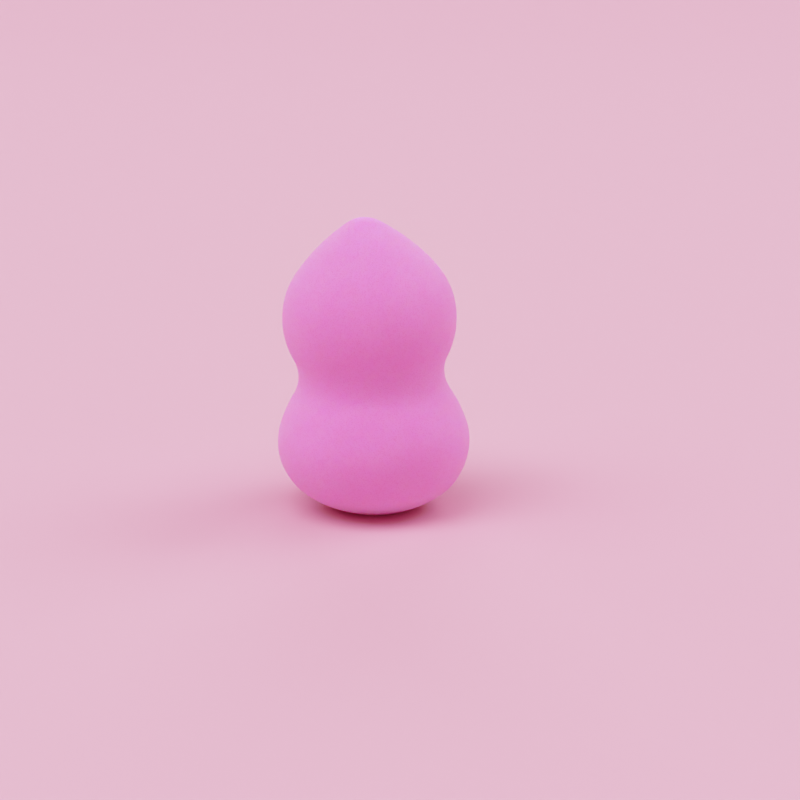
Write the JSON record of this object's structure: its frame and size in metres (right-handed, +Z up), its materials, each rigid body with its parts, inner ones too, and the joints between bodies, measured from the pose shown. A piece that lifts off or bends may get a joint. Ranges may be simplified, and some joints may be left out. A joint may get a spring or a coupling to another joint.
{
  "type": "makeup sponge",
  "caption": "Soft pink foam makeup sponge shaped like a gourd: a round upper lobe with a blunt point, a narrow waist to hold, and a wider round lower lobe with a small flat to stand on",
  "frame": {"origin": "centre of the small flat on the underside that the sponge rests on", "axes": "+Z up from the table to the point; -Y is the side seen in the picture; the sponge's own axis leans about 2 degrees toward -X, in the XZ plane"},
  "size_m": [0.0388, 0.0388, 0.0592],
  "materials": {
    "foam": "matte fine-pored open-cell polyurethane foam, dyed through"
  },
  "bodies": {
    "root": {"sponge_body": "foam"}
  },
  "joints": []
}
